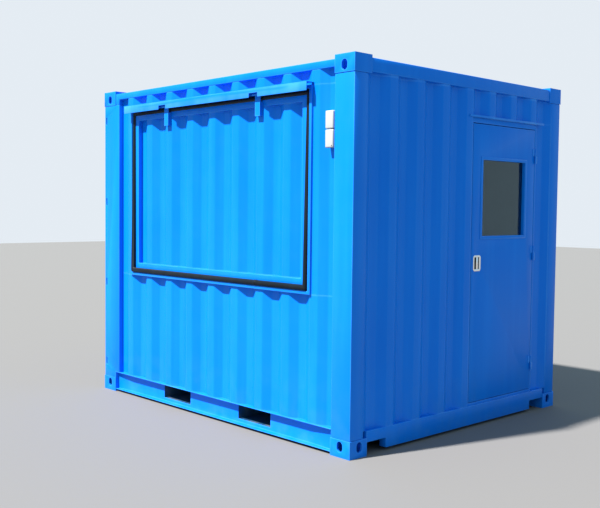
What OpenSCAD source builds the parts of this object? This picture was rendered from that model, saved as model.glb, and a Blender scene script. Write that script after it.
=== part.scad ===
// Ten-foot steel container fitted out as a kitchen: a flap over a serving hatch on one
// long side, a glazed personnel door at one end and cargo doors at the other.
// Millimetres. The origin is on the ground at the middle of the base, +X towards the
// personnel door, -Y towards the serving hatch, +Z up.

/* [Overall] */
// Length over the corner fittings
body_l = 2991; // [2900:1:4200]
// Width over the corner fittings
body_w = 2438; // [2350:1:3000]
// Height over the corner fittings
body_h = 2591; // [2540:1:3200]

/* [Corner fittings] */
// Length of a fitting along the container
cast_l = 178; // [170:1:190]
// Width of a fitting across the container
cast_w = 162; // [155:1:175]
// Height of a fitting
cast_h = 118; // [112:1:130]
// Thickness of a fitting's top or bottom plate
cast_plate = 28; // [20:1:34]
// Thickness of a fitting's side walls
cast_wall = 16; // [12:1:22]
// Length of the twistlock slot
slot_l = 124.5; // [110:0.5:130]
// Width of the twistlock slot
slot_w = 63.5; // [50:0.5:68]
// Slot centre from the end face
slot_x = 101.5; // [96:0.5:108]
// Slot centre from the side face
slot_y = 89; // [80:0.5:94]
// Width of the oval lashing hole
lash_w = 51; // [40:1:60]
// Height of the oval lashing hole
lash_h = 70; // [60:1:80]

/* [Frame] */
// How far posts and rails stand behind the fittings' faces
set_back = 3; // [1:0.5:8]
// Face width of a door-end post along the side
post_l = 178; // [120:1:240]
// Face width of a door-end post across the end
post_w = 127; // [100:1:150]
// Face width of a cargo-end post along the side
cpost_l = 229.5; // [190:0.5:260]
// Face width of a cargo-end post across the end
cpost_w = 116; // [100:1:140]
// Steel thickness of the posts
post_t = 6; // [4:0.5:10]
// Height of the bottom side rail's upper face
rail_top = 172; // [160:1:220]
// Underside of the bottom side rail
rail_base = 20; // [13:1:30]
// Recess of the rail's web behind the fittings' faces
rail_web = 48; // [30:1:50]
// Thickness of the rail's steel
rail_t = 5; // [4:0.5:8]
// Underside of the top side rail
top_rail_z = 75; // [70:1:90]
// Height of the top side rail
top_rail_h = 50; // [40:1:60]
// Depth of the top rails, headers and sills
tube_d = 60; // [50:1:70]
// Wall of the top rails, headers and sills
tube_t = 4; // [3:0.5:6]
// Underside of the end sills
sill_base = 21; // [13:1:30]
// Upper face of the end sills
sill_top = 163; // [150:1:172]
// Height of the notch at each lower corner of the sill
sill_notch_h = 88; // [60:1:110]
// Length of the notch beside each fitting
sill_notch_l = 191; // [120:1:260]
// Height of the door-end header
header_h = 90; // [80:1:110]
// Drop of the header below the fittings' tops
header_drop = 17; // [10:1:30]
// Height of the cargo-end header
cheader_h = 131; // [125:1:150]

/* [Fork pockets] */
// Clear width of a fork pocket
fork_w = 360; // [300:1:380]
// Clear height of a fork pocket
fork_h = 115; // [100:1:118]
// Distance between the pockets' centres
fork_gap = 955; // [900:1:1150]
// Underside of the pockets' clear height
fork_z = 50; // [40:1:52]
// Plate thickness of the fork tunnels
fork_t = 6; // [4:0.5:6]

/* [Sheet walls] */
// Distance from one rib to the next
rib_pitch = 278; // [260:1:320]
// Flat width of a rib's crest
rib_crest = 72; // [60:1:80]
// Width of a rib's sloping side
rib_slope = 68; // [50:1:75]
// Depth of the ribs
rib_d = 36; // [20:1:40]
// Thickness of the sheet
sheet_t = 2; // [1.5:0.5:4]
// Recess of the crests behind the fittings' faces
crest_set = 6; // [4:0.5:12]
// Length of the flat beside a door-end post, and half the trough beyond the last rib
post_slope = 62; // [40:1:70]

/* [Floor, roof and linings] */
// Thickness of the floor
floor_t = 28; // [20:1:40]
// Thickness of the wall and ceiling linings
lining_t = 60; // [40:1:80]
// Gap between the sheet and the lining
lining_gap = 2; // [1:0.5:6]
// Distance from one roof rib to the next
roof_pitch = 209; // [180:1:260]
// Depth of the roof ribs
roof_d = 17; // [8:1:19]
// Distance from the fittings' faces to the ends of the roof ribs
roof_edge = 150; // [100:1:250]
// Width of a cross member's flange
member_w = 45; // [40:1:60]
// Thickness of a cross member
member_t = 5; // [4:0.5:8]

/* [Serving hatch] */
// Outside width of the hatch frame
hatch_w = 2186; // [1800:1:2200]
// Outside height of the hatch frame
hatch_h = 1385; // [1100:1:1390]
// Height of the frame's lower edge
hatch_z = 1035; // [900:1:1040]
// Centre of the hatch from the container's middle
hatch_x = 25; // [0:1:40]
// Face width of the hatch frame
ring_w = 23; // [15:1:40]
// How far the frame stands out past the fittings' faces
ring_out = 10; // [0:1:20]
// Clearance between the frame and the seal
seal_gap = 7; // [6:0.5:15]
// Width of the seal
seal_w = 28; // [20:1:40]
// Depth of the seal
seal_d = 30; // [20:1:40]
// Face width of the flap's frame bars
flap_bar = 45; // [30:1:60]
// Depth of the flap's frame bars
flap_d = 40; // [40:1:60]
// Thickness of the flap's inner skin
skin_t = 3; // [2:0.5:6]
// Hinge line above the flap's upper edge
hinge_up = 38; // [36:1:60]
// Hinge line outside the fittings' faces
hinge_out = 30; // [28:1:50]
// Outer radius of the hinge knuckles
knuckle_r = 10; // [8:0.5:12]
// Radius of the hinge pins
pin_r = 5; // [3:0.5:6]
// Running clearance of a pin in its knuckle
pin_clear = 0.05; // [0.02:0.01:0.1]
// Width of a hinge strap
strap_w = 52; // [40:1:60]
// Thickness of a hinge strap
strap_t = 9; // [6:1:12]
// Length of a strap below the hinge line
strap_l = 150; // [120:1:300]
// Ribs from the middle out to each strap
strap_rib = 2; // [1:1:3]
// Width of a fixed knuckle beside the strap
ear_w = 12; // [8:1:16]
// Height of the gutter's lip
lip_h = 60; // [40:1:62]
// How far the gutter stands out past the fittings' faces
gutter_out = 65; // [60:1:90]
// Thickness of the gutter's sheet
gutter_t = 3; // [2:0.5:5]
// Length of the gutter beyond the frame at each end
gutter_over = 7; // [0:1:40]
// Width of the lip's notch at each strap
notch_w = 92; // [88:1:120]
// Height of the lip's notch
notch_h = 30; // [24:1:34]
// Width of a service cover beside the hatch
cover_w = 72; // [50:1:72]
// Height of a service cover
cover_h = 117; // [80:1:140]
// Gap between the two service covers
cover_gap = 5; // [2:1:30]
// Underside of the lower service cover
cover_z = 2001; // [1200:1:2060]
// How far the covers stand out past the fittings' faces
cover_out = 9; // [0:1:20]

/* [Personnel door] */
// Width of the door leaf
leaf_w = 810; // [700:1:820]
// Height of the door leaf
leaf_h = 2053; // [1900:1:2080]
// Height of the leaf's lower edge
leaf_z = 187; // [184:1:220]
// Middle of the leaf from the container's centre line
leaf_y = 467; // [430:1:470]
// Thickness of the leaf
leaf_t = 45; // [35:1:55]
// Clearance round the leaf
leaf_gap = 6; // [5:0.5:10]
// Recess of the leaf and its frame behind the fittings' faces
leaf_set = 14; // [14:1:20]
// Face width of the frame's upright bars
jamb_w = 17; // [12:1:22]
// Face height of the frame's head
head_h = 37; // [20:1:50]
// Width of the stop behind the leaf
stop_w = 20; // [15:1:30]
// Width of the window opening
pane_w = 588; // [400:1:640]
// Height of the window opening
pane_h = 595; // [300:1:700]
// Height of the window opening's lower edge
pane_z = 1401; // [1300:1:1500]
// Middle of the window from the leaf's middle
pane_off = -4; // [-20:1:20]
// Face width of the window's frame
bead_w = 24; // [15:1:40]
// How far the window's frame stands out of the leaf
bead_out = 4; // [1:1:8]
// Thickness of the pane
glass_t = 6; // [4:1:12]
// Recess of the pane behind the leaf's face
glass_set = 24; // [15:1:30]
// Radius of the door hinges' knuckles
door_knuckle_r = 7; // [6:0.5:7]
// Radius of the door hinges' pins
door_pin_r = 4; // [3:0.5:4.5]
// Height of a door hinge
door_hinge_h = 115; // [80:1:140]
// Width of a hinge's plate
door_hinge_w = 34; // [25:1:50]
// Thickness of a hinge's plate
door_hinge_t = 3; // [2:0.5:4]
// Width of the lock plate
lock_w = 92; // [80:1:100]
// Height of the lock plate
lock_h = 118; // [100:1:180]
// Height of the lock plate's middle
lock_z = 1217; // [1050:1:1250]
// Lock plate from the leaf's free edge
lock_in = 20; // [15:1:40]
// Thickness of the lock plate
lock_t = 4; // [3:1:6]
// Depth of the lock's cup
cup_d = 26; // [15:1:30]
// Radius of the lock's grip bar
grip_r = 6; // [4:0.5:8]
// Underside of the drip rail above the frame's head
drip_h = 17; // [12:1:30]
// Length of the drip rail beyond the frame on each side
drip_over = 43; // [0:1:60]

/* [Cargo doors] */
// Recess of the cargo doors behind the fittings' faces
cargo_set = 20; // [18:1:40]
// Thickness of a cargo door
cargo_t = 45; // [40:1:60]
// Width of the frame round a cargo door
cargo_bar = 60; // [40:1:90]
// Gap round a cargo door, filled by its seal
cargo_gap = 6; // [4:1:10]
// Height of a cargo door's hinge blade
blade_h = 60; // [40:1:90]
// Length of a cargo door's hinge blade
blade_l = 134; // [80:1:200]
// Radius of a cargo door's knuckle
cargo_knuckle_r = 8; // [6:1:9]

/* [Hidden] */
$fn = 48;
e = 1;
blue = [0.13, 0.55, 0.86];
hl = body_l / 2;
hw = body_w / 2;

// Side walls run from the cargo-end post to the door-end post, their ribs about its middle
wall_x0 = -hl + set_back + cpost_l;
wall_x1 = hl - post_l;
rib_mid = (wall_x0 + wall_x1) / 2 + 1.5;
ribs = floor((wall_x1 - wall_x0 - rib_crest - 2 * rib_slope - 40) / 2 / rib_pitch);
trough = crest_set + rib_d;
inner = trough + sheet_t;
rail_in = rail_web + rail_t;
top_rail_low = body_h - top_rail_z;
header_top = body_h - header_drop;
header_low = header_top - header_h;
cheader_low = body_h - cheader_h;

// Door-end wall runs between the posts
post_y = hw - set_back - post_w;
end_ribs = floor((post_y - post_slope - rib_slope - rib_crest / 2) / rib_pitch);

// Linings
lin0 = inner + lining_gap;
lin1 = lin0 + lining_t;
floor_top = rail_top + floor_t;
ceil_low = min(header_low - 29, top_rail_low - lining_t - 1);

// Hatch
hatch_x0 = hatch_x - hatch_w / 2;
hatch_x1 = hatch_x + hatch_w / 2;
hatch_top = hatch_z + hatch_h;
flap_in = ring_w + seal_gap + seal_w;
flap_x0 = hatch_x0 + flap_in;
flap_x1 = hatch_x1 - flap_in;
flap_z0 = hatch_z + flap_in;
flap_z1 = hatch_top - flap_in;
axis_y = -hw - hinge_out;
axis_z = flap_z1 + hinge_up;
strap_x = [for (s = [-1, 1]) rib_mid + s * strap_rib * rib_pitch];
gutter_top = hatch_top + 17;

// Personnel door
leaf_y0 = leaf_y - leaf_w / 2;
leaf_y1 = leaf_y + leaf_w / 2;
leaf_z1 = leaf_z + leaf_h;
face_x = hl - leaf_set;
frame_y0 = leaf_y0 - leaf_gap - jamb_w;
frame_y1 = leaf_y1 + leaf_gap + jamb_w;
frame_z1 = leaf_z1 + leaf_gap + head_h;
drip_z = frame_z1 + drip_h;
frame_depth = lin1 + 4 - leaf_set;
pane_y = leaf_y + pane_off;
door_axis_x = face_x + door_knuckle_r;
door_axis_y = leaf_y1 + leaf_gap / 2;
door_hinge_z = [leaf_z + 150, (2 * leaf_z + leaf_h - door_hinge_h) / 2 + 60, leaf_z1 - 260];
lock_y = leaf_y0 + lock_in + lock_w / 2;

// Cargo doors
cargo_y = hw - set_back - cpost_w;
cargo_z0 = rail_top + cargo_gap;
cargo_z1 = cheader_low - cargo_gap;
blade_z = [for (k = [0 : 3]) 249 + k * (cheader_low - 114 - 249) / 3];

// A box given by its two corners
module box(a, b) translate(a) cube([b[0] - a[0], b[1] - a[1], b[2] - a[2]]);

// Copies on both long sides, and at both ends
module both_sides() { children(); mirror([0, 1, 0]) children(); }
module both_ends() { children(); mirror([1, 0, 0]) children(); }

// A round-ended slot through a plate, along its own first axis
module slot(l, w, h) {
    cube([l - w, w, h], center = true);
    for (s = [-1, 1]) translate([s * (l - w) / 2, 0, 0]) cylinder(h = h, d = w, center = true);
}

// Profile of the ribbed sheet: u runs along the wall, v goes inwards from the fittings' faces
function ribbed(u0, u1, mid, n, top, t) = concat([[u0, top + rib_d]],
    [for (k = [-n : n], p = [[-rib_crest / 2 - rib_slope, rib_d], [-rib_crest / 2, 0],
        [rib_crest / 2, 0], [rib_crest / 2 + rib_slope, rib_d]]) [mid + k * rib_pitch + p[0], top + p[1]]],
    [[u1, top + rib_d], [u1, top + rib_d + t]],
    [for (k = [n : -1 : -n], p = [[rib_crest / 2 + rib_slope, rib_d], [rib_crest / 2, 0],
        [-rib_crest / 2, 0], [-rib_crest / 2 - rib_slope, rib_d]]) [mid + k * rib_pitch + p[0], top + p[1] + t]],
    [[u0, top + rib_d + t]]);

// One fitting with its outer corner at the origin and its slotted face down
module fitting(end_hole) difference() {
    cube([cast_l, cast_w, cast_h]);
    box([cast_wall, cast_wall, cast_plate], [cast_l - cast_wall, cast_w - cast_wall, cast_h - cast_wall]);
    translate([slot_x, slot_y, 0]) slot(slot_l, slot_w, 2 * cast_plate + e);
    translate([92, 0, 70]) rotate([90, 90, 0]) slot(lash_h, lash_w, 2 * cast_wall + e);
    if (end_hole) translate([0, slot_y, 70]) rotate([90, 90, 90]) slot(lash_h, lash_w, 2 * cast_wall + e);
}

module corner_fittings_bottom() color(blue) both_ends() both_sides()
    translate([hl, -hw, 0]) mirror([1, 0, 0]) fitting(true);

module corner_fittings_top() color(blue) both_ends() both_sides()
    translate([hl, -hw, body_h]) mirror([0, 0, 1]) mirror([1, 0, 0]) fitting(false);

module posts_door_end() color(blue) both_sides() difference() {
    box([hl - post_l, -hw + set_back, cast_h], [hl - set_back, -post_y, body_h - cast_h]);
    box([hl - post_l + post_t, -hw + set_back + post_t, cast_h + post_t],
        [hl - set_back - post_t, -post_y - post_t, body_h - cast_h - post_t]);
}

module posts_cargo_end() color(blue) both_sides() difference() {
    union() {
        box([-hl + set_back, -hw + set_back, cast_h], [-hl + cast_l, -cargo_y, body_h - cast_h]);
        box([-hl + cast_l, -hw + set_back, rail_top], [wall_x0, -cargo_y, body_h - cast_h]);
    }
    box([-hl + set_back + post_t, -hw + set_back + post_t, rail_top + post_t],
        [wall_x0 - post_t, -cargo_y - post_t, body_h - cast_h - post_t]);
    for (z = blade_z) box([-hl + 21, -hw, z - 30], [-hl + 35, -hw + 18, z + 30]);
}

// Channel open to the outside, with a slanted gusset against each fitting
module bottom_rail() difference() {
    union() {
        box([-hl + cast_l, -hw + set_back, rail_top - rail_t], [hl - cast_l, -hw + rail_in, rail_top]);
        box([-hl + cast_l, -hw + rail_web, rail_base], [hl - cast_l, -hw + rail_in, rail_top]);
        box([-hl + cast_l, -hw + set_back, rail_base], [hl - cast_l, -hw + rail_in, rail_base + rail_t]);
        for (s = [-1, 1]) translate([0, 0, rail_base]) linear_extrude(rail_top - rail_base)
            polygon([[s * (hl - cast_l), -hw + rail_web - 16], [s * (hl - cast_l), -hw + rail_in],
                [s * (hl - cast_l - 220), -hw + rail_in], [s * (hl - cast_l - 220), -hw + rail_web]]);
    }
    for (s = [-1, 1]) box([rib_mid - 14 + s * fork_gap / 2 - fork_w / 2, -hw + rail_web - e, fork_z],
        [rib_mid - 14 + s * fork_gap / 2 + fork_w / 2, -hw + rail_in + e, fork_z + fork_h]);
}

module rail_bottom_hatch_side() color(blue) bottom_rail();

module rail_bottom_back_side() color(blue) mirror([0, 1, 0]) bottom_rail();

// Square tubes, with a block at the cargo end that carries each down to its post
module rails_top() color(blue) both_sides() {
    difference() {
        box([-hl + cast_l, -hw + set_back, top_rail_low], [hl - cast_l, -hw + set_back + tube_d, top_rail_low + top_rail_h]);
        box([-hl + cast_l + tube_t, -hw + set_back + tube_t, top_rail_low + tube_t],
            [hl - cast_l - tube_t, -hw + set_back + tube_d - tube_t, top_rail_low + top_rail_h - tube_t]);
    }
    box([-hl + cast_l, -hw + set_back, body_h - cast_h], [wall_x0, -hw + set_back + tube_d, top_rail_low]);
}

module sill_door_end() color(blue) difference() {
    box([hl - set_back - tube_d, -hw + cast_w, sill_base], [hl - set_back, hw - cast_w, sill_top]);
    for (s = [0, 1]) mirror([0, s, 0])
        box([hl - set_back - tube_d - e, -hw + cast_w - e, sill_base - e], [hl, -hw + cast_w + sill_notch_l, sill_notch_h]);
    box([hl - set_back - tube_d + tube_t, -hw + cast_w + sill_notch_l + tube_t, sill_base + tube_t],
        [hl - set_back - tube_t, hw - cast_w - sill_notch_l - tube_t, sill_top - tube_t]);
}

module sill_cargo_end() color(blue) difference() {
    box([-hl + set_back, -hw + cast_w, sill_base], [-hl + set_back + tube_d, hw - cast_w, rail_top]);
    box([-hl + set_back + tube_t, -hw + cast_w + tube_t, sill_base + tube_t],
        [-hl + set_back + tube_d - tube_t, hw - cast_w - tube_t, rail_top - tube_t]);
}

module header_door_end() color(blue) difference() {
    box([hl - set_back - tube_d, -hw + cast_w, header_low], [hl - set_back, hw - cast_w, header_top]);
    box([hl - set_back - tube_d + tube_t, -hw + cast_w + tube_t, header_low + tube_t],
        [hl - set_back - tube_t, hw - cast_w - tube_t, header_top - tube_t]);
}

module header_cargo_end() color(blue) difference() {
    box([-hl + set_back, -hw + cast_w, cheader_low], [-hl + set_back + tube_d, hw - cast_w, body_h]);
    box([-hl + set_back + tube_t, -hw + cast_w + tube_t, cheader_low + tube_t],
        [-hl + set_back + tube_d - tube_t, hw - cast_w - tube_t, body_h - tube_t]);
}

// Channels between the bottom rails, clear of the fork tunnels
module cross_members() color(blue) {
    fx = rib_mid - 14;
    span = [for (s = [-1, 1]) fx + s * (fork_gap / 2)];
    half = fork_w / 2 + fork_t + 8;
    room = [[-hl + cast_l + 40, span[0] - half], [span[0] + half, span[1] - half], [span[1] + half, hl - cast_l - 40]];
    for (r = room) for (k = [0 : 2]) {
        x = r[0] + k * (r[1] - r[0] - member_w) / 2;
        yy = hw - rail_in;
        difference() {
            box([x, -yy, fork_z], [x + member_w, yy, rail_top]);
            box([x + member_t, -yy - e, fork_z + member_t], [x + member_w + e, yy + e, rail_top - member_t]);
        }
    }
}

module fork_tunnels() color(blue) for (s = [-1, 1]) {
    x = rib_mid - 14 + s * fork_gap / 2;
    yy = hw - rail_in;
    difference() {
        box([x - fork_w / 2 - fork_t, -yy, fork_z - fork_t], [x + fork_w / 2 + fork_t, yy, fork_z + fork_h + fork_t]);
        box([x - fork_w / 2, -yy - e, fork_z], [x + fork_w / 2, yy + e, fork_z + fork_h]);
    }
}

// Plan of the room inside the sheets, less the corners that the posts fill
module room(x0, x1, z0, z1) difference() {
    box([x0, -hw + lin0, z0], [x1, hw - lin0, z1]);
    for (s = [0, 1]) mirror([0, s, 0]) {
        box([hl - post_l, -hw, z0 - e], [hl, -post_y, z1 + e]);
        box([-hl, -hw, z0 - e], [wall_x0, -cargo_y, z1 + e]);
    }
}

module floor() color([0.45, 0.36, 0.27]) difference() {
    room(-hl + cargo_set + cargo_t + 5, hl - lin0, rail_top, floor_top);
    box([face_x - frame_depth, frame_y0, 0], [hl, frame_y1, body_h]);
}

module lining_ceiling() color([0.86, 0.87, 0.86]) difference() {
    room(-hl + cargo_set + cargo_t + 5, hl - set_back - tube_d - 2, ceil_low, ceil_low + lining_t);
    both_ends() both_sides() box([hl - cast_l, -hw, body_h - cast_h], [hl, -hw + cast_w, body_h]);
}

// Ribs run across the container and end short of the rails
module roof_sheet() color(blue) {
    x0 = -hl + set_back + tube_d;
    x1 = hl - set_back - tube_d;
    n = floor((x1 - x0 - 120) / roof_pitch / 2 - 0.5);
    z = top_rail_low + top_rail_h;
    rib = [[-roof_pitch / 4 - 22, 0], [-roof_pitch / 4, roof_d], [roof_pitch / 4, roof_d], [roof_pitch / 4 + 22, 0]];
    up = concat([[x0, z]], [for (k = [-n : n], p = rib) [k * roof_pitch + p[0], z + p[1]]], [[x1, z]]);
    dn = [for (i = [len(up) - 1 : -1 : 0]) [up[i][0], up[i][1] + sheet_t]];
    difference() {
        union() {
            translate([0, hw - roof_edge, 0]) rotate([90, 0, 0]) linear_extrude(body_w - 2 * roof_edge) polygon(concat(up, dn));
            both_sides() {
                box([x0, -hw + 30, z], [x1, -hw + roof_edge, z + sheet_t]);
                for (k = [-n : n]) translate([k * roof_pitch, -hw + roof_edge + 3, z]) rotate([90, 0, 0])
                    linear_extrude(3) polygon(rib);
            }
        }
        both_ends() both_sides() box([hl - cast_l, -hw, z - e], [hl, -hw + cast_w, body_h]);
    }
}

// The whole ribbed side, cut to the piece wanted
module side_sheet(x0, x1, z0, z1) intersection() {
    translate([0, 0, z0]) linear_extrude(z1 - z0)
        polygon([for (p = ribbed(wall_x0, wall_x1, rib_mid, ribs, crest_set, sheet_t)) [p[0], -hw + p[1]]]);
    box([x0, -hw - e, z0 - e], [x1, 0, z1 + e]);
}

module wall_hatch_below() color(blue) side_sheet(wall_x0 - e, wall_x1 + e, rail_top, hatch_z);

module wall_hatch_left() color(blue) side_sheet(wall_x0 - e, hatch_x0, hatch_z, hatch_top);

module wall_hatch_right() color(blue) side_sheet(hatch_x1, wall_x1 + e, hatch_z, hatch_top);

module wall_hatch_above() color(blue) side_sheet(wall_x0 - e, wall_x1 + e, hatch_top, top_rail_low);

module wall_back() color(blue) mirror([0, 1, 0]) side_sheet(wall_x0 - e, wall_x1 + e, rail_top, top_rail_low);

// Profile of the door-end sheet as one closed line
function end_line() = concat([[-post_y, crest_set], [-post_y + post_slope, trough]],
    [for (k = [-end_ribs : end_ribs], p = [[-rib_crest / 2 - rib_slope, trough], [-rib_crest / 2, crest_set],
        [rib_crest / 2, crest_set], [rib_crest / 2 + rib_slope, trough]]) [k * rib_pitch + p[0], p[1]]],
    [[post_y - post_slope, trough], [post_y, crest_set]]);

module end_piece(y0, y1, z0, z1) difference() {
    end_cut(y0, y1, z0, z1);
    both_sides() box([0, -hw, body_h - cast_h], [hl, -hw + cast_w, body_h]);
}

module end_cut(y0, y1, z0, z1) intersection() {
    translate([0, 0, z0]) linear_extrude(z1 - z0) polygon(concat([for (p = end_line()) [hl - p[1], p[0]]],
        [for (i = [len(end_line()) - 1 : -1 : 0]) [hl - end_line()[i][1] - sheet_t, end_line()[i][0]]]));
    box([0, y0, z0 - e], [hl + e, y1, z1 + e]);
}

module wall_end_left() color(blue) end_piece(-post_y - e, frame_y0, sill_top, header_low);

module wall_end_over_door() color(blue) end_piece(frame_y0, post_y + e, drip_z, header_low);

// Flat plate between the door's frame and the post
module wall_end_right() color(blue) translate([0, 0, sill_top]) linear_extrude(drip_z - sill_top)
    polygon([[hl - trough, frame_y1], [hl - trough, post_y - post_slope], [hl - crest_set, post_y],
        [hl - crest_set - sheet_t, post_y], [hl - trough - sheet_t, post_y - post_slope], [hl - trough - sheet_t, frame_y1]]);

module lining_hatch_side() color([0.86, 0.87, 0.86]) difference() {
    box([wall_x0, -hw + lin0, floor_top], [wall_x1, -hw + lin1, ceil_low]);
    box([hatch_x0, -hw, hatch_z], [hatch_x1, 0, hatch_top]);
}

module lining_back() color([0.86, 0.87, 0.86])
    box([wall_x0, hw - lin1, floor_top], [wall_x1, hw - lin0, ceil_low]);

module lining_door_end() color([0.86, 0.87, 0.86]) difference() {
    box([hl - lin1, -post_y, floor_top], [hl - lin0, post_y, ceil_low]);
    box([0, frame_y0, 0], [hl, frame_y1, frame_z1]);
}

module hatch_frame() color(blue) difference() {
    box([hatch_x0, -hw - ring_out, hatch_z], [hatch_x1, -hw + lin1 + 4, hatch_top]);
    box([hatch_x0 + ring_w, -hw - ring_out - e, hatch_z + ring_w], [hatch_x1 - ring_w, -hw + lin1 + 5, hatch_top - ring_w]);
}

// Shelf with a hanging lip, notched where the straps swing through
module hatch_gutter() color(blue) difference() {
    union() {
        box([hatch_x0 - gutter_over, -hw - gutter_out, gutter_top - gutter_t], [hatch_x1 + gutter_over, -hw + crest_set, gutter_top]);
        box([hatch_x0 - gutter_over, -hw - gutter_out, gutter_top - lip_h], [hatch_x1 + gutter_over, -hw - gutter_out + gutter_t, gutter_top]);
    }
    for (x = strap_x) box([x - notch_w / 2, -hw - gutter_out - e, gutter_top - lip_h - e],
        [x + notch_w / 2, -hw - gutter_out + gutter_t + e, gutter_top - lip_h + notch_h]);
}

module across(x, l, r) translate([x - l / 2, axis_y, axis_z]) rotate([0, 90, 0]) cylinder(h = l, r = r);

// Fixed knuckles on the frame, with the pin between them
module hatch_hinge_ears() color(blue) for (x = strap_x) union() {
    for (s = [-1, 1]) {
        across(x + s * (strap_w / 2 + 1 + ear_w / 2), ear_w, knuckle_r);
        box([x + s * (strap_w / 2 + 1 + ear_w / 2) - ear_w / 2, axis_y, axis_z],
            [x + s * (strap_w / 2 + 1 + ear_w / 2) + ear_w / 2, -hw - ring_out, axis_z + knuckle_r]);
    }
    across(x, strap_w + 2 + 2 * ear_w, pin_r);
}

module hatch_straps() color(blue) for (x = strap_x) difference() {
    union() {
        across(x, strap_w, knuckle_r);
        box([x - strap_w / 2, -hw - hinge_out + 8, axis_z - strap_l], [x + strap_w / 2, -hw - hinge_out + 8 + strap_t, axis_z]);
        box([x - strap_w / 2, -hw - hinge_out + 8, axis_z - strap_l], [x + strap_w / 2, -hw + crest_set, flap_z1 - 12]);
    }
    across(x, strap_w + 2, pin_r + pin_clear);
}

module hatch_flap_frame() color(blue) difference() {
    box([flap_x0, -hw + crest_set, flap_z0], [flap_x1, -hw + crest_set + flap_d, flap_z1]);
    box([flap_x0 + flap_bar, -hw, flap_z0 + flap_bar], [flap_x1 - flap_bar, -hw + crest_set + flap_d + e, flap_z1 - flap_bar]);
}

module hatch_flap_sheet() color(blue) {
    a = flap_x0 + flap_bar;
    b = flap_x1 - flap_bar;
    n = floor((b - a - rib_crest - 2 * rib_slope) / 2 / rib_pitch);
    translate([0, 0, flap_z0 + flap_bar]) linear_extrude(flap_z1 - flap_z0 - 2 * flap_bar)
        polygon([for (p = ribbed(a, b, rib_mid, n, crest_set + 2, sheet_t)) [p[0], -hw + p[1]]]);
}

module hatch_flap_skin() color([0.86, 0.87, 0.86])
    box([flap_x0, -hw + crest_set + flap_d, flap_z0], [flap_x1, -hw + crest_set + flap_d + skin_t, flap_z1]);

module hatch_flap_seal() color([0.03, 0.03, 0.04]) difference() {
    box([flap_x0 - seal_w, -hw, flap_z0 - seal_w], [flap_x1 + seal_w, -hw + seal_d, flap_z1 + seal_w]);
    box([flap_x0, -hw - e, flap_z0], [flap_x1, -hw + seal_d + e, flap_z1]);
}

module service_covers() color([0.9, 0.92, 0.93]) for (k = [0, 1])
    translate([0, 0, cover_z + k * (cover_h + cover_gap)])
        box([wall_x1 - cover_w - 0.3, -hw - cover_out, 0], [wall_x1 - 0.3, -hw + trough, cover_h]);

module door_frame() color(blue) difference() {
    box([face_x - frame_depth, frame_y0, sill_top], [face_x, frame_y1, frame_z1]);
    box([face_x - leaf_t - leaf_gap, leaf_y0 - leaf_gap, leaf_z - leaf_gap], [face_x + e, leaf_y1 + leaf_gap, leaf_z1 + leaf_gap]);
    box([face_x - frame_depth - e, leaf_y0 - leaf_gap + stop_w, floor_top], [face_x, leaf_y1 + leaf_gap - stop_w, leaf_z1 + leaf_gap - stop_w]);
}

// Angle over the door, its lip hanging in front
module door_drip_rail() color(blue) difference() {
    union() {
        box([hl - trough, frame_y0 - drip_over, drip_z - 3], [hl, frame_y1 + drip_over * 2, drip_z]);
        box([hl - 3, frame_y0 - drip_over, drip_z - drip_h + 2], [hl, frame_y1 + drip_over * 2, drip_z]);
        box([face_x - 4, frame_y0, frame_z1], [face_x, frame_y1, drip_z]);
    }
    box([hl - trough - e, -hw, drip_z - drip_h], [hl - crest_set, frame_y0, drip_z + e]);
    translate([0, 0, drip_z - drip_h]) linear_extrude(drip_h + e)
        polygon([[hl - trough - e, post_y - post_slope], [hl - trough, post_y - post_slope], [hl - crest_set, post_y], [0, post_y]]);
}

// Lower half knuckles stay on the frame and carry the pins
module door_hinges_fixed() color(blue) for (z = door_hinge_z) union() {
    translate([door_axis_x, door_axis_y, z]) cylinder(h = door_hinge_h / 2 - 0.5, r = door_knuckle_r);
    translate([door_axis_x, door_axis_y, z]) cylinder(h = door_hinge_h - 4, r = door_pin_r);
    box([face_x, door_axis_y, z], [face_x + door_hinge_t, door_axis_y + door_hinge_w, z + door_hinge_h / 2 - 0.5]);
}

module door_hinges_leaf() color(blue) for (z = door_hinge_z) difference() {
    union() {
        translate([door_axis_x, door_axis_y, z + door_hinge_h / 2 + 0.5]) cylinder(h = door_hinge_h / 2 - 0.5, r = door_knuckle_r);
        box([face_x, door_axis_y - door_hinge_w, z + door_hinge_h / 2 + 0.5], [face_x + door_hinge_t, door_axis_y, z + door_hinge_h]);
    }
    translate([door_axis_x, door_axis_y, z]) cylinder(h = door_hinge_h - 2, r = door_pin_r + pin_clear);
}

module door_leaf() color(blue) difference() {
    box([face_x - leaf_t, leaf_y0, leaf_z], [face_x, leaf_y1, leaf_z1]);
    box([face_x - leaf_t - e, pane_y - pane_w / 2, pane_z], [face_x + e, pane_y + pane_w / 2, pane_z + pane_h]);
    box([face_x - cup_d, lock_y - lock_w / 2 + 12, lock_z - lock_h / 2 + 14], [face_x + e, lock_y + lock_w / 2 - 12, lock_z + lock_h / 2 - 14]);
}

module door_window_frame() color(blue) difference() {
    union() {
        box([face_x, pane_y - pane_w / 2 - 8, pane_z - 8], [face_x + bead_out, pane_y + pane_w / 2 + 8, pane_z + pane_h + 8]);
        box([face_x - leaf_t, pane_y - pane_w / 2, pane_z], [face_x + bead_out, pane_y + pane_w / 2, pane_z + pane_h]);
    }
    box([face_x - leaf_t - e, pane_y - pane_w / 2 + bead_w - 8, pane_z + bead_w - 8],
        [face_x + bead_out + e, pane_y + pane_w / 2 - bead_w + 8, pane_z + pane_h - bead_w + 8]);
}

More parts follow.
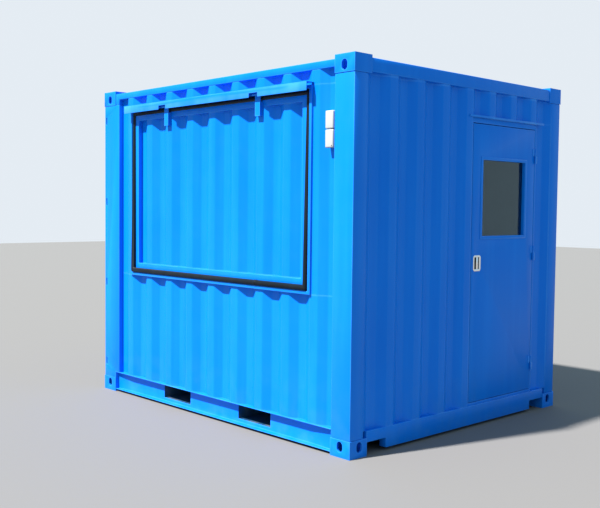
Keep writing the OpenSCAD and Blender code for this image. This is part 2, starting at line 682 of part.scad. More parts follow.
module door_pane() color([0.62, 0.7, 0.78, 0.5])
    box([face_x - glass_set - glass_t, pane_y - pane_w / 2 + bead_w - 8, pane_z + bead_w - 8],
        [face_x - glass_set, pane_y + pane_w / 2 - bead_w + 8, pane_z + pane_h - bead_w + 8]);

// Plate with a cup sunk into the leaf and an upright grip bar across it
module door_lock() color([0.8, 0.82, 0.84]) union() {
    difference() {
        union() {
            box([face_x, lock_y - lock_w / 2, lock_z - lock_h / 2], [face_x + lock_t, lock_y + lock_w / 2, lock_z + lock_h / 2]);
            box([face_x - cup_d, lock_y - lock_w / 2 + 12, lock_z - lock_h / 2 + 14], [face_x + e, lock_y + lock_w / 2 - 12, lock_z + lock_h / 2 - 14]);
        }
        box([face_x - cup_d + 2, lock_y - lock_w / 2 + 15, lock_z - lock_h / 2 + 17], [face_x + lock_t + e, lock_y + lock_w / 2 - 15, lock_z + lock_h / 2 - 17]);
    }
    translate([face_x - grip_r + 2, lock_y, lock_z - lock_h / 2 + 16]) cylinder(h = lock_h - 32, r = grip_r);
}

// A framed leaf with a ribbed panel, its ribs level
module cargo_leaf() {
    a = [-hl + cargo_set, cargo_gap / 2];
    b = [-hl + cargo_set + cargo_t, cargo_y - cargo_gap];
    h = (cargo_z1 - cargo_z0 - 2 * cargo_bar) / 5;
    difference() {
        box([a[0], a[1], cargo_z0], [b[0], b[1], cargo_z1]);
        for (k = [0 : 4]) box([a[0] - e, a[1] + cargo_bar, cargo_z0 + cargo_bar + k * h + 30],
            [b[0] - 6, b[1] - cargo_bar, cargo_z0 + cargo_bar + (k + 1) * h - 30]);
    }
}

module cargo_doors() color(blue) both_sides() cargo_leaf();

module cargo_door_seals() color([0.03, 0.03, 0.04]) both_sides() difference() {
    box([-hl + cargo_set + 4, 0.5, cargo_z0 - cargo_gap], [-hl + cargo_set + 24, cargo_y, cargo_z1 + cargo_gap]);
    box([-hl, cargo_gap / 2, cargo_z0], [0, cargo_y - cargo_gap, cargo_z1]);
}

module cargo_hinges() color(blue) both_sides() for (z = blade_z) union() {
    box([-hl + cargo_set - 6, cargo_y - blade_l, z - blade_h / 2], [-hl + cargo_set, cargo_y - 1, z + blade_h / 2]);
    translate([-hl + cargo_set - 9, cargo_y - 9, z - blade_h / 2 - 15]) cylinder(h = blade_h + 30, r = cargo_knuckle_r);
    box([-hl + cargo_set - 13, cargo_y - 9, z - blade_h / 2 - 15], [-hl + cargo_set - 5, cargo_y, z - blade_h / 2 - 3]);
    box([-hl + cargo_set - 13, cargo_y - 9, z + blade_h / 2 + 3], [-hl + cargo_set - 5, cargo_y, z + blade_h / 2 + 15]);
}

corner_fittings_bottom();
corner_fittings_top();
posts_door_end();
posts_cargo_end();
rail_bottom_hatch_side();
rail_bottom_back_side();
rails_top();
sill_door_end();
sill_cargo_end();
header_door_end();
header_cargo_end();
cross_members();
fork_tunnels();
floor();
roof_sheet();
wall_hatch_below();
wall_hatch_left();
wall_hatch_right();
wall_hatch_above();
wall_back();
wall_end_left();
wall_end_over_door();
wall_end_right();
lining_hatch_side();
lining_back();
lining_door_end();
lining_ceiling();
hatch_frame();
hatch_gutter();
hatch_hinge_ears();
hatch_flap_frame();
hatch_flap_sheet();
hatch_flap_skin();
hatch_flap_seal();
hatch_straps();
service_covers();
door_frame();
door_drip_rail();
door_hinges_fixed();
door_leaf();
door_hinges_leaf();
door_window_frame();
door_pane();
door_lock();
cargo_doors();
cargo_door_seals();
cargo_hinges();
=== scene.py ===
import math

import bpy
from mathutils import Matrix, Vector


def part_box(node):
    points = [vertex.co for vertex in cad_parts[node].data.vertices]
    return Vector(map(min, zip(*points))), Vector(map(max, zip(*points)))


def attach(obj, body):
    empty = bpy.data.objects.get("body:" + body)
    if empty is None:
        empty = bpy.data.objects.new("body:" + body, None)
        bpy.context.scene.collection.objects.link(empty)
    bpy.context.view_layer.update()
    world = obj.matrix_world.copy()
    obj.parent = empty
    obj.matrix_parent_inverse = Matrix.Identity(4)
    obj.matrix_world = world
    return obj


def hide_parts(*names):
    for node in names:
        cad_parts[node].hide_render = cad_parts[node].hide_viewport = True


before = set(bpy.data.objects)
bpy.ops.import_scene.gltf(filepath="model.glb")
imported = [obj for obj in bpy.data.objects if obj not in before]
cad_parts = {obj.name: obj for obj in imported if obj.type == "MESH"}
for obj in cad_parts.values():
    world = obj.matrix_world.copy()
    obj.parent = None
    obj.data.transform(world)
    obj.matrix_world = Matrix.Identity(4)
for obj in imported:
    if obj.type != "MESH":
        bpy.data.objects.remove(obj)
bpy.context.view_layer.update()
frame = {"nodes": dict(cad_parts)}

# ---------------------------------------------------------------- the yard and the view
# A pale plain floor under the container, a soft sun from the hatch side, a bluish sky to
# fill the shaded end, and the camera standing off the corner between hatch and door.
bpy.context.scene.view_settings.view_transform = "Standard"
yaw, pitch, roll = math.radians(136.797), math.radians(-3.0), math.radians(0.61)
ahead = Vector((math.cos(yaw) * math.cos(pitch), math.sin(yaw) * math.cos(pitch), math.sin(pitch)))
level = Vector((math.sin(yaw), -math.cos(yaw), 0))
above = level.cross(ahead)
right = math.cos(roll) * level + math.sin(roll) * above
upward = math.cos(roll) * above - math.sin(roll) * level
lens = bpy.data.cameras.new("corner_view")
lens.lens = 880.08 / 600 * 36
lens.clip_end = 200
camera = bpy.data.objects.new("corner_view", lens)
bpy.context.scene.collection.objects.link(camera)
camera.matrix_world = Matrix.Translation((5.3139, -5.2587, 1.6111)) @ Matrix(
    (right, upward, -ahead)).transposed().to_4x4()
bpy.context.scene.camera = camera

sky = bpy.data.worlds.new("soft_sky")
sky.use_nodes = True
fill = sky.node_tree.nodes["Background"]
fill.inputs["Color"].default_value = (0.60, 0.84, 1.0, 1)
fill.inputs["Strength"].default_value = 0.74
pale = sky.node_tree.nodes.new("ShaderNodeBackground")
pale.inputs["Color"].default_value = (0.78, 0.84, 0.90, 1)
seen = sky.node_tree.nodes.new("ShaderNodeLightPath")
choice = sky.node_tree.nodes.new("ShaderNodeMixShader")
sky.node_tree.links.new(seen.outputs["Is Camera Ray"], choice.inputs[0])
sky.node_tree.links.new(fill.outputs[0], choice.inputs[1])
sky.node_tree.links.new(pale.outputs[0], choice.inputs[2])
sky.node_tree.links.new(choice.outputs[0], sky.node_tree.nodes["World Output"].inputs[0])
bpy.context.scene.world = sky
toward_sun = Vector((-0.26, -0.94, 1.36)).normalized()
sun = bpy.data.lights.new("high_key", "SUN")
sun.energy = 11.5
sun.angle = math.radians(2.5)
sun.color = (1.0, 0.97, 0.92)
sun_object = bpy.data.objects.new("high_key", sun)
bpy.context.scene.collection.objects.link(sun_object)
sun_object.rotation_euler = toward_sun.to_track_quat("Z", "Y").to_euler()

bpy.ops.object.select_all(action="DESELECT")
bpy.ops.mesh.primitive_plane_add(size=60, location=(0, 0, 0))
yard = bpy.context.object
yard.name = "yard"
tarmac = bpy.data.materials.new("pale_floor")
tarmac.use_nodes = True
tarmac.node_tree.nodes["Principled BSDF"].inputs["Base Color"].default_value = (0.155, 0.15, 0.148, 1)
tarmac.node_tree.nodes["Principled BSDF"].inputs["Roughness"].default_value = 0.85
yard.data.materials.append(tarmac)


# ---------------------------------------------------------------- sky-blue paint
# Two-pack paint sprayed on shot-blasted steel: even, semi-gloss, a little orange peel,
# faintly chalked in runs down the sheet and dusty near the ground. Its bends and edges
# are mixed toward a lighter blue, a painted highlight.
def add(tree, kind, **values):
    made = tree.nodes.new(kind)
    for key, value in values.items():
        setattr(made, key, value)
    return made


def weathering():
    group = bpy.data.node_groups.new("weathering", "ShaderNodeTree")
    for name, kind in (("Paint", "NodeSocketColor"), ("Faded", "NodeSocketColor"), ("Dust", "NodeSocketColor"),
                       ("Bend Highlight Colour", "NodeSocketColor"), ("Bend Highlight", "NodeSocketFloat"),
                       ("Fade", "NodeSocketFloat"), ("Dirt", "NodeSocketFloat"), ("Gloss", "NodeSocketFloat"),
                       ("Peel", "NodeSocketFloat")):
        group.interface.new_socket(name=name, in_out="INPUT", socket_type=kind)
    for name, kind in (("Colour", "NodeSocketColor"), ("Roughness", "NodeSocketFloat"), ("Height", "NodeSocketFloat")):
        group.interface.new_socket(name=name, in_out="OUTPUT", socket_type=kind)
    come, go = add(group, "NodeGroupInput"), add(group, "NodeGroupOutput")
    where = add(group, "ShaderNodeTexCoord")
    join = group.links.new

    def noise(size, scale, detail=3.0):
        place = add(group, "ShaderNodeMapping")
        place.inputs["Scale"].default_value = scale
        join(where.outputs["Object"], place.inputs["Vector"])
        cloud = add(group, "ShaderNodeTexNoise")
        cloud.inputs["Scale"].default_value = size
        cloud.inputs["Detail"].default_value = detail
        join(place.outputs["Vector"], cloud.inputs["Vector"])
        return cloud.outputs["Fac"]

    def sums(kind, one, two, clamp=False):
        made = add(group, "ShaderNodeMath", operation=kind, use_clamp=clamp)
        for socket, value in zip(made.inputs, (one, two)):
            if isinstance(value, float):
                socket.default_value = value
            else:
                join(value, socket)
        return made.outputs[0]

    def spread(value, low, high, to_low=0.0, to_high=1.0):
        made = add(group, "ShaderNodeMapRange", interpolation_type="SMOOTHSTEP")
        for name, number in (("From Min", low), ("From Max", high), ("To Min", to_low), ("To Max", to_high)):
            made.inputs[name].default_value = number
        join(value, made.inputs["Value"])
        return made.outputs["Result"]

    def blend(mask, one, two):
        made = add(group, "ShaderNodeMix", data_type="RGBA")
        join(mask, made.inputs["Factor"])
        join(one, made.inputs["A"])
        join(two, made.inputs["B"])
        return made.outputs["Result"]

    height_split = add(group, "ShaderNodeSeparateXYZ")
    join(where.outputs["Object"], height_split.inputs[0])
    broad = spread(noise(1.3, (1, 1, 1)), 0.35, 0.7)
    runs = spread(noise(5.0, (2.4, 2.4, 0.16), 5.0), 0.42, 0.72)
    chalk = sums("MULTIPLY", sums("ADD", sums("MULTIPLY", broad, 0.55), sums("MULTIPLY", runs, 0.6)), come.outputs["Fade"], True)
    low_down = spread(height_split.outputs["Z"], 0.0, 0.55, 1.0, 0.0)
    # Bends and edges, found with the Bevel node, are mixed toward a lighter blue: a painted highlight along the bends.
    eased_face = add(group, "ShaderNodeBevel", samples=6)
    eased_face.inputs["Radius"].default_value = 0.009
    turn = add(group, "ShaderNodeVectorMath", operation="DOT_PRODUCT")
    join(eased_face.outputs[0], turn.inputs[0])
    join(add(group, "ShaderNodeNewGeometry").outputs["Normal"], turn.inputs[1])
    corners = spread(sums("SUBTRACT", 1.0, turn.outputs["Value"]), 0.001, 0.02)
    painted_bend_highlight = sums("MULTIPLY", sums("MULTIPLY", corners, spread(noise(6.0, (1, 1, 0.25)), 0.3, 0.7, 0.35, 1.0)),
                  come.outputs["Bend Highlight"], True)
    specks = spread(noise(9.0, (1, 1, 1), 8.0), 0.42, 0.66)
    grime = sums("MULTIPLY", sums("MULTIPLY", sums("ADD", low_down, 0.12), specks), come.outputs["Dirt"], True)
    join(blend(grime, blend(painted_bend_highlight, blend(chalk, come.outputs["Paint"], come.outputs["Faded"]), come.outputs["Bend Highlight Colour"]),
               come.outputs["Dust"]), go.inputs["Colour"])
    rough = sums("ADD", come.outputs["Gloss"], sums("MULTIPLY", noise(14.0, (1, 1, 1)), 0.12))
    join(sums("ADD", rough, sums("MULTIPLY", grime, 0.5), True), go.inputs["Roughness"])
    ripple = sums("MULTIPLY", noise(3.2, (1, 1, 0.5), 1.0), 1.0)
    peel = sums("MULTIPLY", noise(420.0, (1, 1, 1), 1.0), come.outputs["Peel"])
    join(sums("ADD", ripple, peel), go.inputs["Height"])
    return group


weather = weathering()


def painted(name, paint, faded, dust, fade=0.5, dirt=0.16, gloss=0.27, peel=0.03, lift=0.0012, metallic=0.0, shine=0.13, bend_highlight=0.0,
            bend_highlight_colour=(0.5, 0.5, 0.5)):
    made = bpy.data.materials.new(name)
    made.use_nodes = True
    tree = made.node_tree
    shader = tree.nodes["Principled BSDF"]
    group = add(tree, "ShaderNodeGroup", node_tree=weather)
    for key, value in (("Paint", (*paint, 1)), ("Faded", (*faded, 1)), ("Dust", (*dust, 1)), ("Fade", fade), ("Bend Highlight Colour", (*bend_highlight_colour, 1)), ("Bend Highlight", bend_highlight),
                       ("Dirt", dirt), ("Gloss", gloss), ("Peel", peel)):
        group.inputs[key].default_value = value
    bump = add(tree, "ShaderNodeBump")
    bump.inputs["Distance"].default_value = lift
    bump.inputs["Strength"].default_value = 0.6
    tree.links.new(group.outputs["Height"], bump.inputs["Height"])
    tree.links.new(group.outputs["Colour"], shader.inputs["Base Color"])
    tree.links.new(group.outputs["Roughness"], shader.inputs["Roughness"])
    tree.links.new(bump.outputs["Normal"], shader.inputs["Normal"])
    shader.inputs["Metallic"].default_value = metallic
    shader.inputs["Specular IOR Level"].default_value = shine
    return made


# The lighter blue given for bends and edges paints a highlight along them.
blue = painted("sky_blue_paint", (0.0, 0.163, 0.72), (0.004, 0.21, 0.80), (0.05, 0.22, 0.56), bend_highlight=0.75,
               bend_highlight_colour=(0.05, 0.29, 0.82))
blue_cast = painted("sky_blue_on_casting", (0.0, 0.163, 0.72), (0.004, 0.21, 0.80), (0.05, 0.22, 0.56),
                    peel=0.5, lift=0.0010, gloss=0.36, bend_highlight=0.5, bend_highlight_colour=(0.05, 0.29, 0.82))


# ---------------------------------------------------------------- corner fittings
# Cast steel corner fittings, hollow, with a twistlock slot above or below and oval
# lashing holes. Their edges are generously rounded by the mould; they are welded to the posts.
def settle(piece, material, slot, body="container", *stands_for):
    piece.data.materials.clear()
    piece.data.materials.append(material)
    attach(piece, body)
    if stands_for:
        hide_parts(*stands_for)
    return piece


def eased(node, radius, material=blue, slot="paint_blue", body="container", steps=2, sharp=28):
    """The node's own shape as one merged skin, its edges rounded off."""
    bpy.ops.object.select_all(action="DESELECT")
    piece = bpy.data.objects.new(node + "_finished", frame["nodes"][node].data.copy())
    bpy.context.scene.collection.objects.link(piece)
    bpy.context.view_layer.objects.active = piece
    piece.select_set(True)
    bpy.ops.mesh.customdata_custom_splitnormals_clear()
    bpy.ops.object.mode_set(mode="EDIT")
    bpy.ops.mesh.select_all(action="SELECT")
    bpy.ops.mesh.remove_doubles(threshold=0.00004)
    bpy.ops.mesh.dissolve_limited(angle_limit=math.radians(0.5))
    bpy.ops.object.mode_set(mode="OBJECT")
    rounding = piece.modifiers.new("rounding", "BEVEL")
    rounding.width = radius
    rounding.segments = steps
    rounding.limit_method = "ANGLE"
    rounding.angle_limit = math.radians(sharp)
    bpy.ops.object.modifier_apply(modifier="rounding")
    bpy.ops.object.shade_smooth_by_angle(angle=math.radians(40))
    return settle(piece, material, slot, body, node)


eased("corner_fittings_bottom", 0.010, blue_cast, steps=4)
eased("corner_fittings_top", 0.010, blue_cast, steps=4)

# ---------------------------------------------------------------- posts, rails, sills and headers
# Pressed and rolled steel sections, six and four millimetres thick, so every corner is a
# tight bend. They are welded end to end between the fittings.
near_rail = eased("rail_bottom_hatch_side", 0.002)
bpy.ops.object.select_all(action="DESELECT")
far_rail = bpy.data.objects.new("rail_bottom_back_side_finished", near_rail.data.copy())
bpy.context.scene.collection.objects.link(far_rail)
bpy.context.view_layer.objects.active = far_rail
far_rail.select_set(True)
bpy.ops.object.mode_set(mode="EDIT")
bpy.ops.mesh.select_all(action="SELECT")
bpy.ops.transform.resize(value=(1, -1, 1), center_override=(0, 0, 0))
bpy.ops.mesh.flip_normals()
bpy.ops.object.mode_set(mode="OBJECT")
settle(far_rail, blue, "paint_blue", "container", "rail_bottom_back_side")
for node, radius in (("posts_door_end", 0.007), ("posts_cargo_end", 0.007), ("rails_top", 0.005), ("sill_door_end", 0.004),
                     ("sill_cargo_end", 0.004), ("header_door_end", 0.005), ("header_cargo_end", 0.005),
                     ("roof_sheet", 0.0007)):
    eased(node, radius)

# ---------------------------------------------------------------- underframe
# Channels across the bottom and the box sections for a lift truck's forks, in the darker
# coat that the underside gets, made dark enough to be painted shade inside the fork pockets.
# They are welded between the two bottom rails.
# This coat is darker than underbody paint alone: it is painted shade for the fork pockets as well as the underside's
# coat.
underside_coat_and_pocket_shade = painted("dark_underside_coat_and_pocket_shade", (0.004, 0.035, 0.085), (0.02, 0.08, 0.14), (0.10, 0.12, 0.13), fade=0.6,
                    dirt=0.5, gloss=0.5, peel=0.2, lift=0.0014)
for node, radius in (("cross_members", 0.0015), ("fork_tunnels", 0.002)):
    eased(node, radius, underside_coat_and_pocket_shade)


# ---------------------------------------------------------------- floor and linings
# Marine plywood sheets screwed to the cross members, and wipe-clean insulated panels
# on the walls and ceiling, their joints about 1.2 m apart.
def boards():
    made = bpy.data.materials.new("sealed_plywood")
    made.use_nodes = True
    tree = made.node_tree
    shader = tree.nodes["Principled BSDF"]
    where = add(tree, "ShaderNodeTexCoord")
    place = add(tree, "ShaderNodeMapping")
    place.inputs["Scale"].default_value = (1.5, 22, 22)
    grain = add(tree, "ShaderNodeTexNoise")
    grain.inputs["Scale"].default_value = 3
    grain.inputs["Detail"].default_value = 7
    ramp = add(tree, "ShaderNodeValToRGB")
    ramp.color_ramp.elements[0].position, ramp.color_ramp.elements[0].color = 0.3, (0.16, 0.105, 0.06, 1)
    ramp.color_ramp.elements[1].position, ramp.color_ramp.elements[1].color = 0.75, (0.34, 0.24, 0.15, 1)
    tree.links.new(where.outputs["Object"], place.inputs["Vector"])
    tree.links.new(place.outputs["Vector"], grain.inputs["Vector"])
    tree.links.new(grain.outputs["Fac"], ramp.inputs["Fac"])
    tree.links.new(ramp.outputs["Color"], shader.inputs["Base Color"])
    bump = add(tree, "ShaderNodeBump")
    bump.inputs["Distance"].default_value = 0.0006
    tree.links.new(grain.outputs["Fac"], bump.inputs["Height"])
    tree.links.new(bump.outputs["Normal"], shader.inputs["Normal"])
    shader.inputs["Roughness"].default_value = 0.5
    return made


panel_white = painted("panel_white", (0.74, 0.75, 0.74), (0.66, 0.67, 0.66), (0.45, 0.44, 0.42), fade=0.3, dirt=0.25,
                      gloss=0.25, peel=0.01, lift=0.0006)


def refinish(node, material):
    """A CAD node that keeps its shape takes the real finish."""
    part = frame["nodes"][node]
    part.data.materials.clear()
    part.data.materials.append(material)


refinish("floor", boards())
for node in ("lining_hatch_side", "lining_back", "lining_door_end", "lining_ceiling", "hatch_flap_skin"):
    refinish(node, panel_white)


# ---------------------------------------------------------------- ribbed wall sheet
# Two-millimetre weathering steel pressed into trapezoid ribs, 278 mm apart and 36 mm deep,
# with soft bends. The sheets are welded all round to the posts, the rails and the frames.
pitch_of_ribs, crest, slope, depth, gauge = 0.278, 0.072, 0.068, 0.036, 0.002
half_w = frame["nodes"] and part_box("posts_door_end")[1].y + 0.003
half_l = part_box("corner_fittings_bottom")[1].x


def rib_line(start, end, middle, count):
    line = [(start, depth)]
    for k in range(-count, count + 1):
        centre = middle + k * pitch_of_ribs
        line += [(centre - crest / 2 - slope, depth), (centre - crest / 2, 0), (centre + crest / 2, 0),
                 (centre + crest / 2 + slope, depth)]
    return line + [(end, depth)]


def cut_line(line, start, end):
    def at(u):
        for (a, da), (b, db) in zip(line, line[1:]):
            if a <= u <= b:
                return da + (db - da) * (u - a) / (b - a)
    inside = [p for p in line if start + 0.0005 < p[0] < end - 0.0005]
    return [(start, at(start))] + inside + [(end, at(end))]


def ribbed(name, line, low, high, place, stands_for, body="container", bend=0.008, slot="paint_blue"):
    """One sheet: a strip is extruded from bend to bend, its bends rounded, then thickened inwards."""
    bpy.ops.object.select_all(action="DESELECT")
    bpy.ops.mesh.primitive_plane_add(size=1)
    sheet = bpy.context.object
    sheet.name = name
    first, second = place(*line[0]), place(*line[1])
    ends = [v for v in sheet.data.vertices]
    for v in ends:
        x, y = (second if v.co.x > 0 else first)
        v.select = v.co.x > 0
        v.co = (x, y, high if v.co.y > 0 else low)
    bpy.ops.object.mode_set(mode="EDIT")
    bpy.ops.mesh.select_mode(type="VERT")
    bpy.ops.mesh.select_all(action="DESELECT")
    bpy.ops.object.mode_set(mode="OBJECT")
    for v in sheet.data.vertices:
        v.select = (Vector((v.co.x, v.co.y)) - Vector(second)).length < 1e-6
    bpy.ops.object.mode_set(mode="EDIT")
    for a, b in zip(line[1:], line[2:]):
        (xa, ya), (xb, yb) = place(*a), place(*b)
        bpy.ops.mesh.extrude_region_move(TRANSFORM_OT_translate={"value": (xb - xa, yb - ya, 0)})
    bpy.ops.mesh.select_all(action="SELECT")
    bpy.ops.mesh.remove_doubles(threshold=0.00001)
    bpy.ops.mesh.normals_make_consistent(inside=False)
    bpy.ops.object.mode_set(mode="OBJECT")
    inner = place(0.0, 1.0)
    outward = Vector((place(0.0, 0.0)[0] - inner[0], place(0.0, 0.0)[1] - inner[1], 0))
    flat = max(sheet.data.polygons, key=lambda f: abs(f.normal.dot(outward)))
    if flat.normal.dot(outward) < 0:
        bpy.ops.object.mode_set(mode="EDIT")
        bpy.ops.mesh.select_all(action="SELECT")
        bpy.ops.mesh.flip_normals()
        bpy.ops.object.mode_set(mode="OBJECT")
    bends = sheet.modifiers.new("bends", "BEVEL")
    bends.width, bends.segments = bend, 4
    bends.limit_method, bends.angle_limit = "ANGLE", math.radians(15)
    skin = sheet.modifiers.new("gauge", "SOLIDIFY")
    skin.thickness, skin.offset = gauge, -1
    for modifier in ("bends", "gauge"):
        bpy.ops.object.modifier_apply(modifier=modifier)
    bpy.ops.object.shade_smooth_by_angle(angle=math.radians(30))
    return settle(sheet, blue, slot, body, *stands_for)


crest_set = 0.006
hatch_low, hatch_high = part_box("hatch_frame")
wall_low, wall_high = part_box("wall_hatch_below")
rib_middle = 0.02875
side_line = rib_line(wall_low.x, wall_high.x, rib_middle, 4)


def on_hatch_side(u, d):
    return u, -half_w + crest_set + d


def on_back_side(u, d):
    return u, half_w - crest_set - d


def on_door_end(u, d):
    return half_l - crest_set - d, u


ribbed("sheet_below_hatch", side_line, wall_low.z, hatch_low.z, on_hatch_side, ["wall_hatch_below"])
ribbed("sheet_above_hatch", side_line, hatch_high.z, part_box("wall_hatch_above")[1].z, on_hatch_side, ["wall_hatch_above"])
ribbed("sheet_left_of_hatch", cut_line(side_line, wall_low.x, hatch_low.x), hatch_low.z, hatch_high.z, on_hatch_side,
       ["wall_hatch_left"])
ribbed("sheet_right_of_hatch", cut_line(side_line, hatch_high.x, wall_high.x), hatch_low.z, hatch_high.z,
       on_hatch_side, ["wall_hatch_right"])
ribbed("sheet_back", side_line, wall_low.z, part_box("wall_back")[1].z, on_back_side, ["wall_back"])

# The end sheet climbs to the crest plane beside each post, and the door's frame cuts it.
end_low, end_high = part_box("wall_end_left")
jamb_low, jamb_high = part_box("door_frame")
post_edge = -end_low.y
end_line = rib_line(-post_edge + 0.062, post_edge - 0.062, 0.0, 3)
end_line = [(-post_edge, 0.0)] + end_line + [(post_edge, 0.0)]
ribbed("sheet_left_of_door", cut_line(end_line, -post_edge, jamb_low.y), end_low.z, 2.473, on_door_end, ["wall_end_left"])
ribbed("sheet_over_door", cut_line(end_line, jamb_low.y, post_edge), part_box("wall_end_over_door")[0].z, 2.473,
       on_door_end, ["wall_end_over_door"])
ribbed("sheet_left_under_header", cut_line(end_line, -1.057, jamb_low.y), 2.473, end_high.z, on_door_end, [])
ribbed("sheet_right_under_header", cut_line(end_line, jamb_low.y, 1.057), 2.473, end_high.z, on_door_end, [])
ribbed("plate_right_of_door", [(jamb_high.y, depth), (post_edge - 0.062, depth), (post_edge, 0.0)],
       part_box("wall_end_right")[0].z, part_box("wall_end_right")[1].z, on_door_end, ["wall_end_right"])

# ---------------------------------------------------------------- serving hatch frame and gutter
# A flat-bar frame welded into the cut sheet, and over it a folded gutter whose lip hides
# the hinges and is notched where the straps swing through.
eased("hatch_frame", 0.003)
eased("hatch_gutter", 0.0012)
refinish("hatch_hinge_ears", blue)

# ---------------------------------------------------------------- the flap
# A square-tube frame with a piece of the ribbed sheet let into it, a white inner skin,
# and two flat straps hung on pins under the gutter.
eased("hatch_flap_frame", 0.003, body="hatch_flap")
refinish("hatch_straps", blue)
flap_low, flap_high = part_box("hatch_flap_sheet")
flap_line = rib_line(flap_low.x, flap_high.x, rib_middle, 3)
ribbed("flap_sheet", flap_line, flap_low.z, flap_high.z, lambda u, d: (u, -half_w + 0.008 + d), ["hatch_flap_sheet"],
       body="hatch_flap")

# ---------------------------------------------------------------- the flap's seal
# A hollow black rubber bulb, mitred at the corners and glued round the flap's edge.
rubber = painted("black_rubber", (0.004, 0.007, 0.011), (0.012, 0.018, 0.026), (0.04, 0.048, 0.055), fade=0.5, dirt=0.2,
                 gloss=0.38, peel=0.1, lift=0.0008)
seal_low, seal_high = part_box("hatch_flap_seal")
bulb = eased("hatch_flap_seal", 0.0125, rubber, "seal_black", "hatch_flap", steps=5)
bpy.ops.object.select_all(action="DESELECT")
bulb.select_set(True)
bpy.context.view_layer.objects.active = bulb
bpy.ops.object.mode_set(mode="EDIT")
bpy.ops.mesh.select_all(action="SELECT")
bpy.ops.transform.shrink_fatten(value=0.0045)
bpy.ops.transform.translate(value=(0, -0.021, 0))
bpy.ops.mesh.select_all(action="DESELECT")
bpy.ops.object.mode_set(mode="OBJECT")
for v in bulb.data.vertices:
    v.select = v.co.z > seal_high.z - 0.05
bpy.ops.object.mode_set(mode="EDIT")
bpy.ops.transform.translate(value=(0, 0.022, 0))
bpy.ops.object.mode_set(mode="OBJECT")

# The seal's ends are butted and glued in the bottom run, under a thin rubber sleeve.
bpy.ops.object.select_all(action="DESELECT")
bpy.ops.mesh.primitive_cylinder_add(vertices=28, radius=0.0205, depth=0.034, rotation=(0, math.pi / 2, 0),
                                    location=(0.56, (seal_low.y + seal_high.y) / 2 - 0.021, seal_low.z + 0.014))
sleeve = bpy.context.object
sleeve.name = "seal_sleeve"
bpy.ops.object.transform_apply(location=True, rotation=True, scale=True)
bpy.ops.object.mode_set(mode="EDIT")
bpy.ops.mesh.select_all(action="SELECT")
bpy.ops.mesh.bevel(offset=0.0012, segments=2)
bpy.ops.object.mode_set(mode="OBJECT")
bpy.ops.object.shade_smooth_by_angle(angle=math.radians(35))
settle(sleeve, rubber, "seal_black", "hatch_flap")
refinish("cargo_door_seals", rubber)

# ---------------------------------------------------------------- service covers
# Two moulded white covers, one over the other, each a lid on a shallow base.
white_cover = painted("white_cover", (0.40, 0.41, 0.42), (0.34, 0.35, 0.355), (0.22, 0.23, 0.23), fade=0.3, dirt=0.2,
                      gloss=0.28, peel=0.02, lift=0.0004)
eased("service_covers", 0.008, white_cover, "cover_white", steps=4)
cover_low, cover_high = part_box("service_covers")
bpy.ops.object.select_all(action="DESELECT")
bpy.ops.mesh.primitive_cylinder_add(vertices=20, radius=0.0045, depth=0.003, rotation=(math.pi / 2, 0, 0),
                                    location=(cover_high.x - 0.011, cover_low.y + 0.0012, cover_low.z + 0.012))
screw = bpy.context.object
screw.name = "cover_screw"
bpy.ops.object.transform_apply(location=True, rotation=True, scale=True)
bpy.ops.object.mode_set(mode="EDIT")
bpy.ops.mesh.select_all(action="SELECT")
bpy.ops.mesh.bevel(offset=0.0008, segments=2)
bpy.ops.object.mode_set(mode="OBJECT")
bpy.ops.object.shade_smooth_by_angle(angle=math.radians(35))
settle(screw, painted("dark_screw", (0.03, 0.03, 0.033), (0.06, 0.06, 0.06), (0.1, 0.1, 0.1), gloss=0.4, lift=0.0002),
       "lock_steel")

# ---------------------------------------------------------------- personnel door
# A flush steel leaf in a folded frame, hung on three lift-off hinges, with a beaded
# window and a drip rail over it.
eased("door_frame", 0.0015)
eased("door_drip_rail", 0.0008)
eased("door_hinges_fixed", 0.0008)
eased("door_leaf", 0.002, body="personnel_door")
eased("door_hinges_leaf", 0.0008, body="personnel_door")
eased("door_window_frame", 0.0015, body="personnel_door")
glass = bpy.data.materials.new("window_glass")
glass.use_nodes = True
pane_shader = glass.node_tree.nodes["Principled BSDF"]
pane_shader.inputs["Base Color"].default_value = (0.50, 0.58, 0.60, 1)
pane_shader.inputs["Roughness"].default_value = 0.03
pane_shader.inputs["Transmission Weight"].default_value = 1.0
pane_shader.inputs["IOR"].default_value = 1.5
refinish("door_pane", glass)

# ---------------------------------------------------------------- door lock
# A polished steel plate with well-rounded corners, pressed in to a dark cup that a flat
# grip bar crosses. It is screwed flush into the leaf.
steel = painted("polished_lock_steel", (0.86, 0.87, 0.88), (0.70, 0.71, 0.72), (0.4, 0.4, 0.4), fade=0.3, dirt=0.1,
                gloss=0.10, peel=0.02, lift=0.0002, metallic=1.0, shine=0.5)
cup_black = painted("lock_cup_black", (0.012, 0.013, 0.015), (0.03, 0.03, 0.033), (0.1, 0.1, 0.1), fade=0.4, dirt=0.3,
                    gloss=0.4, peel=0.1, lift=0.0003)
lock_low, lock_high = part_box("door_lock")
lock_mid = (lock_low + lock_high) / 2
face = lock_high.x
bpy.ops.object.select_all(action="DESELECT")
bpy.ops.mesh.primitive_cube_add(size=1, location=(face - 0.006, lock_mid.y, lock_mid.z),
                                scale=(0.012, lock_high.y - lock_low.y, lock_high.z - lock_low.z))
plate = bpy.context.object
plate.name = "door_lock_plate"
bpy.ops.object.transform_apply(location=True, rotation=True, scale=True)


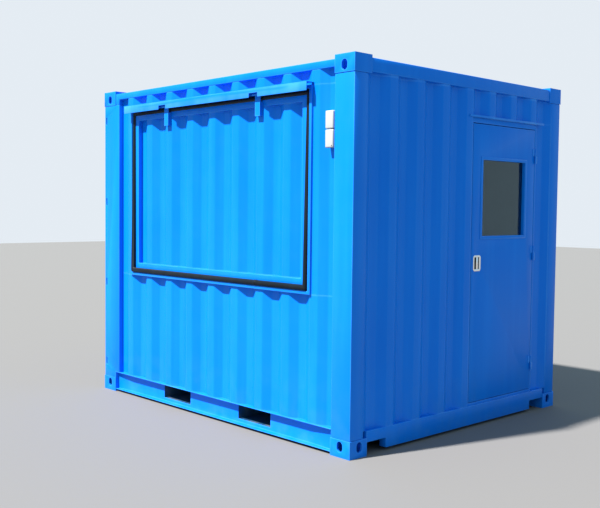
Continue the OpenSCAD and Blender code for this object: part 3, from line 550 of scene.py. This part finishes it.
def pick(piece, wanted_face=None, wanted_edge=None):
    bpy.ops.object.mode_set(mode="EDIT")
    bpy.ops.mesh.select_mode(type="FACE" if wanted_face else "EDGE")
    bpy.ops.mesh.select_all(action="DESELECT")
    bpy.ops.object.mode_set(mode="OBJECT")
    mesh = piece.data
    for part in (mesh.polygons if wanted_face else mesh.edges):
        if wanted_face:
            part.select = wanted_face(part)
        else:
            part.select = wanted_edge(*[mesh.vertices[i].co for i in part.vertices])
    bpy.ops.object.mode_set(mode="EDIT")


pick(plate, wanted_edge=lambda a, b: abs(a.x - b.x) > 0.005)
bpy.ops.mesh.bevel(offset=0.020, segments=7)
bpy.ops.object.mode_set(mode="OBJECT")
pick(plate, lambda f: f.normal.x > 0.9 and f.area > 0.002)
bpy.ops.mesh.inset(thickness=0.014)
bpy.ops.mesh.inset(thickness=0.002, depth=-0.003)
bpy.ops.mesh.extrude_region_move(TRANSFORM_OT_translate={"value": (-0.006, 0, 0)})
bpy.ops.object.mode_set(mode="OBJECT")
plate.data.materials.append(steel)
settle(plate, steel, "lock_steel", "personnel_door", "door_lock")
plate.data.materials.append(cup_black)
for f in plate.data.polygons:
    f.material_index = 1 if f.center.x < face - 0.004 and f.normal.x > 0.9 else 0
rim = plate.modifiers.new("rim", "BEVEL")
rim.width, rim.segments, rim.limit_method, rim.angle_limit = 0.0012, 3, "ANGLE", math.radians(50)
bpy.ops.object.modifier_apply(modifier="rim")
bpy.ops.object.shade_smooth_by_angle(angle=math.radians(35))

bpy.ops.object.select_all(action="DESELECT")
bpy.ops.mesh.primitive_cube_add(size=1, location=(face - 0.004, lock_mid.y + 0.004, lock_mid.z),
                                scale=(0.005, 0.022, lock_high.z - lock_low.z - 0.030))
grip = bpy.context.object
grip.name = "door_lock_grip"
bpy.ops.object.transform_apply(location=True, rotation=True, scale=True)
bpy.ops.object.mode_set(mode="EDIT")
bpy.ops.mesh.select_all(action="SELECT")
bpy.ops.mesh.bevel(offset=0.0018, segments=3)
bpy.ops.object.mode_set(mode="OBJECT")
bpy.ops.object.shade_smooth_by_angle(angle=math.radians(35))
settle(grip, steel, "lock_steel", "personnel_door")

# ---------------------------------------------------------------- cargo doors
# A pair of pressed steel leaves closing the far end, each on four hinges, with a black
# seal round its edge. They are shut.
eased("cargo_doors", 0.003)
eased("cargo_hinges", 0.0015)
